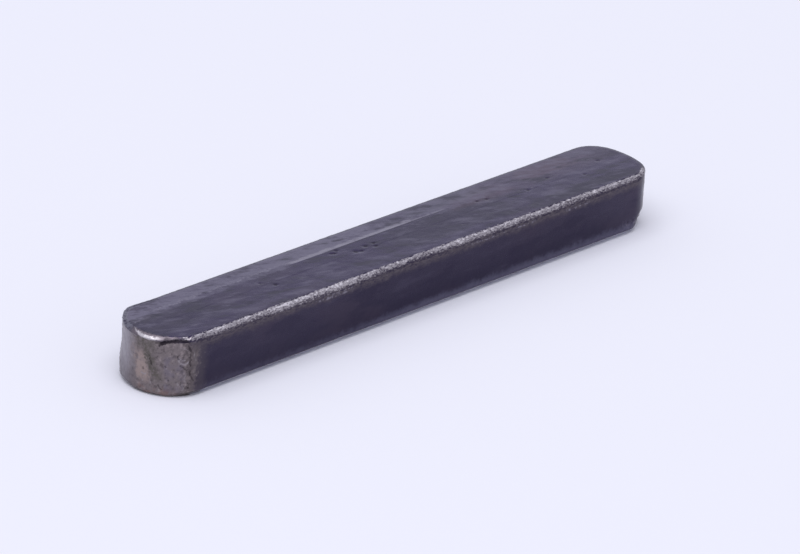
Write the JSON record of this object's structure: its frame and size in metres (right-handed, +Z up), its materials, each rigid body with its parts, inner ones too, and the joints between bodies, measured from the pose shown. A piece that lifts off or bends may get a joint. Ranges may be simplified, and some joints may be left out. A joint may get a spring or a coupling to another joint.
{
  "type": "parallel key",
  "caption": "Steel parallel key with round ends and broken edges that locks a hub to a shaft so that they turn together.",
  "frame": {"origin": "middle of the bottom face, which the key lies on", "axes": "+X along the key, from the scuffed left end to the right end; +Y across its width; +Z up through its height, from the bottom face to the top face"},
  "size_m": [0.09, 0.012, 0.008],
  "materials": {
    "key_steel": "dark oxide and mill scale over ground key steel, rubbed bright along the broken edges, scuffed bare and lightly rusted on the left end"
  },
  "bodies": {
    "root": {"parallel_key": "key_steel"}
  },
  "joints": []
}
